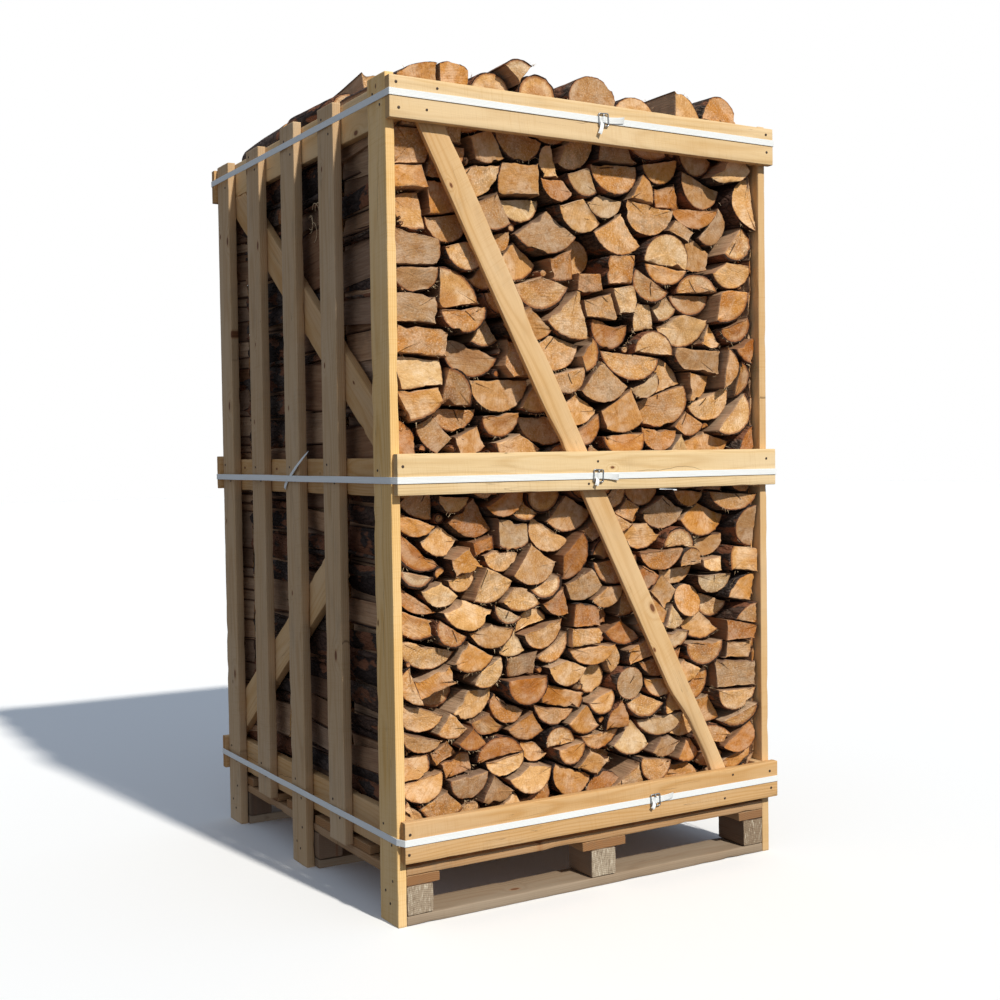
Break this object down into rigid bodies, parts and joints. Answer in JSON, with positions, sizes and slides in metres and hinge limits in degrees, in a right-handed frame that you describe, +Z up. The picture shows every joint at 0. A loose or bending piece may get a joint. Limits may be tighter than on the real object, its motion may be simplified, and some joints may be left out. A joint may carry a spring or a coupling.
{
  "type": "firewood bundle",
  "caption": "Split firewood stacked in an open slatted timber crate on a pallet, held together by tensioned straps with wire buckles.",
  "frame": {"origin": "on the ground under the middle of the crate, on the underside of the middle pallet runner", "axes": "+Z up, +X to the right of the front, -Y out of the front face that the log ends show in"},
  "size_m": [1.0728, 1.1163, 1.936],
  "materials": {
    "crate_board_wood": "sawn pine, pale yellow, unplaned",
    "pallet_board_wood": "sawn softwood, weathered",
    "pallet_block_wood": "sawn block, grey and worn",
    "firewood": "split and sawn, rough, with bark",
    "strapping": "white corded strap",
    "buckle_wire": "galvanised wire"
  },
  "bodies": {
    "root": {"back_brace": "crate_board_wood", "back_rail_bottom": "crate_board_wood", "back_rail_middle": "crate_board_wood", "back_rail_top": "crate_board_wood", "buckle_bottom": "buckle_wire", "buckle_middle": "buckle_wire", "buckle_top": "buckle_wire", "front_brace": "crate_board_wood", "front_rail_bottom": "crate_board_wood", "front_rail_middle": "crate_board_wood", "front_rail_top": "crate_board_wood", "left_brace_lower": "crate_board_wood", "left_brace_upper": "crate_board_wood", "left_post_back": "crate_board_wood", "left_post_front": "crate_board_wood", "left_rail_bottom": "crate_board_wood", "left_rail_middle": "crate_board_wood", "left_rail_top": "crate_board_wood", "left_slat_back": "crate_board_wood", "left_slat_front": "crate_board_wood", "left_slat_middle": "crate_board_wood", "log_row_back": "firewood", "log_row_front": "firewood", "log_row_middle": "firewood", "pallet_block_back_left": "pallet_block_wood", "pallet_block_back_middle": "pallet_block_wood", "pallet_block_back_right": "pallet_block_wood", "pallet_block_front_left": "pallet_block_wood", "pallet_block_front_middle": "pallet_block_wood", "pallet_block_front_right": "pallet_block_wood", "pallet_block_middle_left": "pallet_block_wood", "pallet_block_middle_middle": "pallet_block_wood", "pallet_block_middle_right": "pallet_block_wood", "pallet_deck_board_1": "pallet_board_wood", "pallet_deck_board_2": "pallet_board_wood", "pallet_deck_board_3": "pallet_board_wood", "pallet_deck_board_4": "pallet_board_wood", "pallet_deck_board_5": "pallet_board_wood", "pallet_deck_board_6": "pallet_board_wood", "pallet_runner_back": "pallet_board_wood", "pallet_runner_front": "pallet_board_wood", "pallet_runner_middle": "pallet_board_wood", "pallet_stringer_left": "pallet_board_wood", "pallet_stringer_middle": "pallet_board_wood", "pallet_stringer_right": "pallet_board_wood", "right_brace_lower": "crate_board_wood", "right_brace_upper": "crate_board_wood", "right_post_back": "crate_board_wood", "right_post_front": "crate_board_wood", "right_rail_bottom": "crate_board_wood", "right_rail_middle": "crate_board_wood", "right_rail_top": "crate_board_wood", "right_slat_back": "crate_board_wood", "right_slat_front": "crate_board_wood", "right_slat_middle": "crate_board_wood", "strap_bottom": "strapping", "strap_middle": "strapping", "strap_top": "strapping"}
  },
  "joints": []
}
